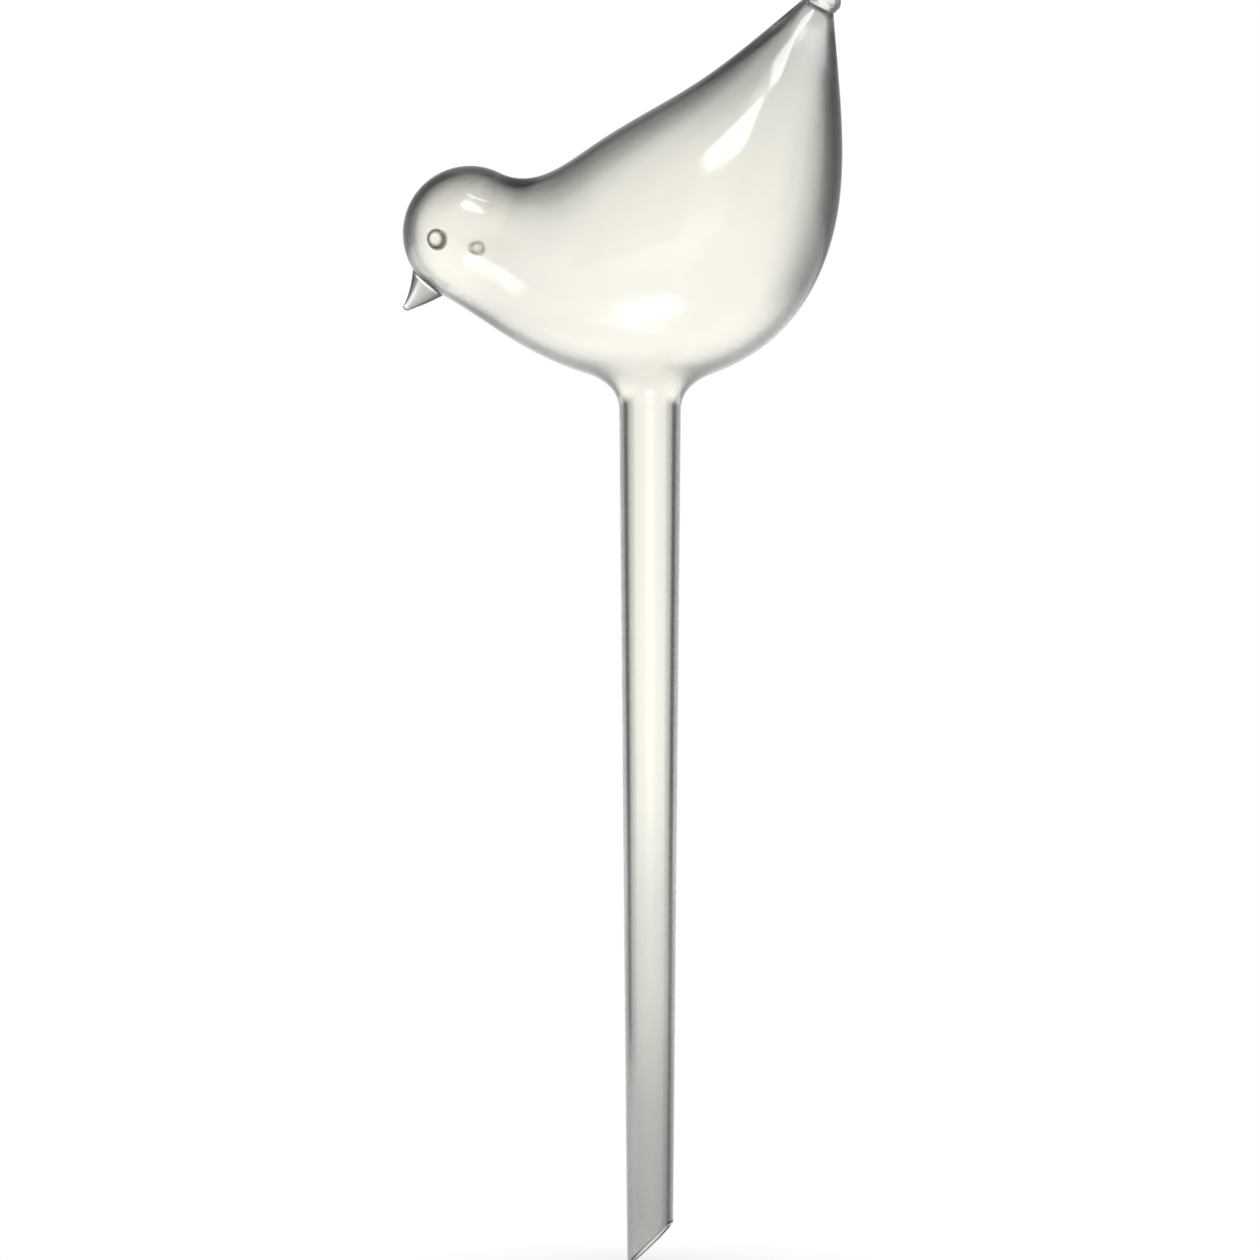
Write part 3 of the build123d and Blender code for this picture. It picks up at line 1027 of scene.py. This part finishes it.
def eye_glass(colours):
    """An eye, with a painted dark ring near its edge."""
    return glass_material(
        "eye_glass", colours, swell=MELTED_SWELL, ripple=0.01, ior=EYE_IOR, ring=EYE_PAINTED_RING)


def hollow_glass(colours):
    """The inside of the bulb and the stem, and the bead's base."""
    return glass_material("hollow_glass", colours, swell=BLOWN_SWELL, ripple=0.005, haze=BLOWN_HAZE)


def weld_material():
    """The inside of a weld, where two pieces of glass have run together and no surface is left."""
    name = "fused_weld"
    if name in bpy.data.materials:
        return bpy.data.materials[name]
    material = bpy.data.materials.new(name)
    material.use_nodes = True
    shader = material.node_tree.nodes["Principled BSDF"]
    shader.inputs["Transmission Weight"].default_value = 1.0
    shader.inputs["Alpha"].default_value = 0.0
    return material


# Studio


def world_direction(azimuth, elevation):
    """Unit vector to a place in the studio, its azimuth turning from the camera to the camera's right."""
    turn = VIEW_AZIMUTH + azimuth
    level = math.cos(elevation)
    return np.array([math.sin(turn) * level, -math.cos(turn) * level, math.sin(elevation)])


def window_light(tree, ray):
    """Socket with the brightness of the window's panes, seen in a direction.

    The ray is divided by its part towards the window, which lays it on the window's plane.  A pane's
    light fades across its slanted sides, its foot and its head.
    """
    turn = VIEW_AZIMUTH + WINDOW_AZIMUTH
    ahead = world_direction(WINDOW_AZIMUTH, WINDOW_HEIGHT)
    right = np.array([math.cos(turn), math.sin(turn), 0.0])
    up = np.cross(right, -ahead)
    cosine = math.cos(WINDOW_ROLL)
    sine = math.sin(WINDOW_ROLL)
    ways = (ahead, right * cosine + up * sine, up * cosine - right * sine)
    depth, aside, aloft = (vector_node(tree, "DOT_PRODUCT", ray, way).outputs["Value"] for way in ways)
    across = math_node(tree, "DIVIDE", aside, depth)
    height = math_node(tree, "DIVIDE", aloft, depth)
    edge = (-WINDOW_SOFTNESS, WINDOW_SOFTNESS)
    total = 0.0
    for (foot, foot_middle, foot_half), (head, head_middle, head_half), rounding in WINDOW_PANES:
        share = map_range(tree, height, (foot, head), kind="LINEAR")
        taper = math_node(tree, "POWER", share, PANE_TAPER)
        middle = math_node(tree, "MULTIPLY_ADD", taper, head_middle - foot_middle, foot_middle)
        full = math_node(tree, "MULTIPLY_ADD", taper, head_half - foot_half, foot_half)
        half = math_node(tree, "MULTIPLY", full, map_range(tree, share, (0.0, rounding)))
        away = math_node(tree, "ABSOLUTE", math_node(tree, "SUBTRACT", across, middle))
        beyond = math_node(tree, "SUBTRACT", away, half)
        within = map_range(tree, beyond, edge, (1.0, 0.0))
        above = map_range(tree, height, (foot - WINDOW_ENDS, foot + WINDOW_ENDS))
        below = map_range(tree, height, (head - WINDOW_ENDS, head + WINDOW_ENDS), (1.0, 0.0))
        tall = math_node(tree, "MULTIPLY", above, below)
        total = math_node(tree, "MULTIPLY_ADD", within, tall, total)
    towards = math_node(tree, "GREATER_THAN", depth, WINDOW_FRONT)
    level = math_node(tree, "MULTIPLY", towards, WINDOW_LEVEL)
    return math_node(tree, "MULTIPLY", level, total)


def panel_light(tree, x, y):
    """Socket with the share of light in a level direction: full at the panels, less in the gaps between."""
    azimuth = math_node(tree, "ARCTAN2", x, y)
    waves = math_node(tree, "MULTIPLY_ADD", azimuth, PANELS, -PANELS * PANEL_MIDDLE)
    swing = math_node(tree, "COSINE", waves)
    edges = (math.cos(PANELS * PANEL_DARK), math.cos(PANELS * PANEL_FULL))
    return map_range(tree, swing, edges, (GAP_LEVEL, 1.0))


def studio_world(colours):
    """White to the camera; to the glass, bright panels that darken upwards, and a soft window.

    Towards the head and the tail, the panels darken less.
    """
    world = bpy.data.worlds.new("studio")
    bpy.context.scene.world = world
    world.use_nodes = True
    tree = world.node_tree
    tree.nodes.clear()
    ray = node(tree, "ShaderNodeTexCoord").outputs["Generated"]
    parts = split_node(tree, ray)
    sideways = math_node(tree, "ABSOLUTE", parts["Y"])
    lengthways = math_node(tree, "ABSOLUTE", parts["X"])
    level = math_node(tree, "MAXIMUM", math_node(tree, "ADD", sideways, lengthways), LEAST_LEVEL)
    endwise = map_range(tree, math_node(tree, "DIVIDE", sideways, level), END_SHARES)
    beside = ramp_colour(tree, parts["Z"], SWEEP_LEVELS)
    levels = mix_colour(tree, endwise, beside, ramp_colour(tree, parts["Z"], END_LEVELS))
    panels = panel_light(tree, parts["X"], parts["Y"])
    sweep = mix_colour(tree, 1.0, levels, panels, "MULTIPLY")
    colour = mix_colour(tree, 1.0, sweep, window_light(tree, ray), "ADD")
    light = node(tree, "ShaderNodeBackground", {"Color": colour, "Strength": SWEEP_STRENGTH})
    seen = node(tree, "ShaderNodeBackground", {"Color": (*colours.backdrop, 1.0)})
    camera_ray = node(tree, "ShaderNodeLightPath").outputs["Is Camera Ray"]
    mix = mix_shader(tree, camera_ray, light, seen)
    node(tree, "ShaderNodeOutputWorld", {"Surface": mix.outputs[0]})


def floor_material(colours):
    """Pale floor: white to the camera with a soft shadow near the stem; bright through the glass.

    Far off, the floor that shows through the glass has the gaps of the studio's panels.
    """
    material, tree = new_material("pale_floor")
    white = (*colours.backdrop, 1.0)
    place = node(tree, "ShaderNodeTexCoord").outputs["Object"]
    flat = vector_node(tree, "MULTIPLY", place, (1.0, 1.0, 0.0)).outputs[0]
    distance = vector_node(tree, "LENGTH", flat).outputs["Value"]
    parts = split_node(tree, flat)
    panels = panel_light(tree, parts["X"], parts["Y"])
    gaps = mix_colour(tree, map_range(tree, distance, GAP_FLOOR), white, panels)
    through = node(tree, "ShaderNodeEmission", {"Color": gaps, "Strength": FLOOR_STRENGTH})
    plain = node(tree, "ShaderNodeEmission", {"Color": white})
    matt = node(tree, "ShaderNodeBsdfDiffuse", {"Color": white})
    near = map_range(tree, distance, (0.0, SHADOW_REACH), (SHADOW_SHARE, 0.0))
    shaded = mix_shader(tree, near, plain, matt)
    camera_ray = node(tree, "ShaderNodeLightPath").outputs["Is Camera Ray"]
    mix = mix_shader(tree, camera_ray, through, shaded)
    node(tree, "ShaderNodeOutputMaterial", {"Surface": mix.outputs[0]})
    return material


def studio_floor(colours):
    """Wide round floor just below the stem's tip."""
    turn = full_turn(FLOOR_CORNERS)
    height = np.full(FLOOR_CORNERS, FLOOR_HEIGHT)
    disc = np.stack([FLOOR_RADIUS * np.cos(turn), FLOOR_RADIUS * np.sin(turn), height], -1)
    mesh = bpy.data.meshes.new("floor")
    mesh.from_pydata(disc.tolist(), [], [list(range(FLOOR_CORNERS))])
    mesh.materials.append(floor_material(colours))
    floor = bpy.data.objects.new("floor", mesh)
    bpy.context.scene.collection.objects.link(floor)


def studio_camera():
    """Camera that looks level along the picture's angle, with the picture's scale at the stem's axis."""
    lens = bpy.data.cameras.new("camera")
    lens.sensor_width = SENSOR_WIDTH
    lens.lens = SENSOR_WIDTH * VIEW_DISTANCE / (PICTURE_WIDTH * PIXEL)
    lens.clip_start = CLIP_START
    camera = bpy.data.objects.new("camera", lens)
    bpy.context.scene.collection.objects.link(camera)
    camera.location = (
        VIEW_DISTANCE * math.sin(VIEW_AZIMUTH) - VIEW_ASIDE * math.cos(VIEW_AZIMUTH),
        -VIEW_DISTANCE * math.cos(VIEW_AZIMUTH) - VIEW_ASIDE * math.sin(VIEW_AZIMUTH),
        VIEW_HEIGHT,
    )
    camera.rotation_euler = (math.pi / 2, 0, VIEW_AZIMUTH)
    bpy.context.scene.camera = camera


# Operators


class GLOBE_OT_bird_bulb(bpy.types.Operator):
    """Builds the blown bulb: head, body and tail in one shell, open at the neck."""

    bl_idname = "globe.bird_bulb"
    bl_label = "Bird bulb"

    def execute(self, context):
        colours = context.scene.globe_colours
        materials = [blown_glass(colours), hollow_glass(colours), weld_material()]
        glass_piece("bird_bulb", "clear_glass", materials, *bird_bulb_mesh(context.scene.globe_sizes))
        return {"FINISHED"}


class GLOBE_OT_stem_tube(bpy.types.Operator):
    """Builds the drawn stem with its slanted tip."""

    bl_idname = "globe.stem_tube"
    bl_label = "Stem tube"

    def execute(self, context):
        colours = context.scene.globe_colours
        materials = [drawn_glass(colours), hollow_glass(colours), weld_material()]
        glass_piece("stem_tube", "clear_glass", materials, *stem_tube_mesh(context.scene.globe_sizes))
        return {"FINISHED"}


class GLOBE_OT_tail_nib(bpy.types.Operator):
    """Builds the bead that seals the tail."""

    bl_idname = "globe.tail_nib"
    bl_label = "Tail nib"

    def execute(self, context):
        colours = context.scene.globe_colours
        materials = [bead_glass(colours), hollow_glass(colours)]
        points, faces, base = tail_nib_mesh(context.scene.globe_sizes)
        glass_piece("tail_nib", "solid_glass", materials, points, faces, base, crease=base[0])
        return {"FINISHED"}


class GLOBE_OT_beak(bpy.types.Operator):
    """Builds the beak, a bit of glass melted on and drawn to a blunt point."""

    bl_idname = "globe.beak"
    bl_label = "Beak"

    def execute(self, context):
        materials = [beak_glass(context.scene.globe_colours)]
        points, faces, root, _ = beak_mesh(context.scene.globe_sizes)
        glass_piece("beak", "solid_glass", materials, points, faces, crease=root)
        return {"FINISHED"}


class GLOBE_OT_eyes(bpy.types.Operator):
    """Builds the two eyes, dots of glass on the sides of the head."""

    bl_idname = "globe.eyes"
    bl_label = "Eyes"

    def execute(self, context):
        sizes = context.scene.globe_sizes
        materials = [eye_glass(context.scene.globe_colours)]
        for label, diameter, side in (("left_eye", sizes.left_eye, -1), ("right_eye", sizes.right_eye, 1)):
            points, faces, root, ring = eye_mesh(sizes, diameter, side)
            glass_piece(label, "solid_glass", materials, points, faces, crease=root, ring=ring)
        return {"FINISHED"}


class GLOBE_OT_stage(bpy.types.Operator):
    """Builds the pale floor, the studio light and the camera at the picture's angle."""

    bl_idname = "globe.stage"
    bl_label = "Stage"

    def execute(self, context):
        colours = context.scene.globe_colours
        context.scene.view_settings.view_transform = "Standard"
        studio_world(colours)
        studio_floor(colours)
        studio_camera()
        return {"FINISHED"}


class GLOBE_PT_panel(bpy.types.Panel):
    """Lists the globe's pieces, sizes and colours."""

    bl_label = "Glass watering globe"
    bl_space_type = "VIEW_3D"
    bl_region_type = "UI"
    bl_category = "Globe"

    def draw(self, context):
        for operator in OPERATORS:
            self.layout.operator(operator.bl_idname)
        for group in (context.scene.globe_sizes, context.scene.globe_colours):
            for name in group.__annotations__:
                self.layout.prop(group, name)


OPERATORS = (
    GLOBE_OT_bird_bulb, GLOBE_OT_stem_tube, GLOBE_OT_tail_nib, GLOBE_OT_beak, GLOBE_OT_eyes, GLOBE_OT_stage,
)
CLASSES = (GlobeSizes, GlobeColours, *OPERATORS, GLOBE_PT_panel)


def register():
    """Adds the classes and the scene's two groups of settings."""
    for kind in CLASSES:
        bpy.utils.register_class(kind)
    bpy.types.Scene.globe_sizes = PointerProperty(type=GlobeSizes)
    bpy.types.Scene.globe_colours = PointerProperty(type=GlobeColours)


def unregister():
    """Takes them away again."""
    del bpy.types.Scene.globe_colours
    del bpy.types.Scene.globe_sizes
    for kind in reversed(CLASSES):
        bpy.utils.unregister_class(kind)


def main():
    """Builds every piece and the stage."""
    register()
    bpy.ops.globe.bird_bulb()
    bpy.ops.globe.stem_tube()
    bpy.ops.globe.tail_nib()
    bpy.ops.globe.beak()
    bpy.ops.globe.eyes()
    bpy.ops.globe.stage()


if __name__ == "__main__":
    main()
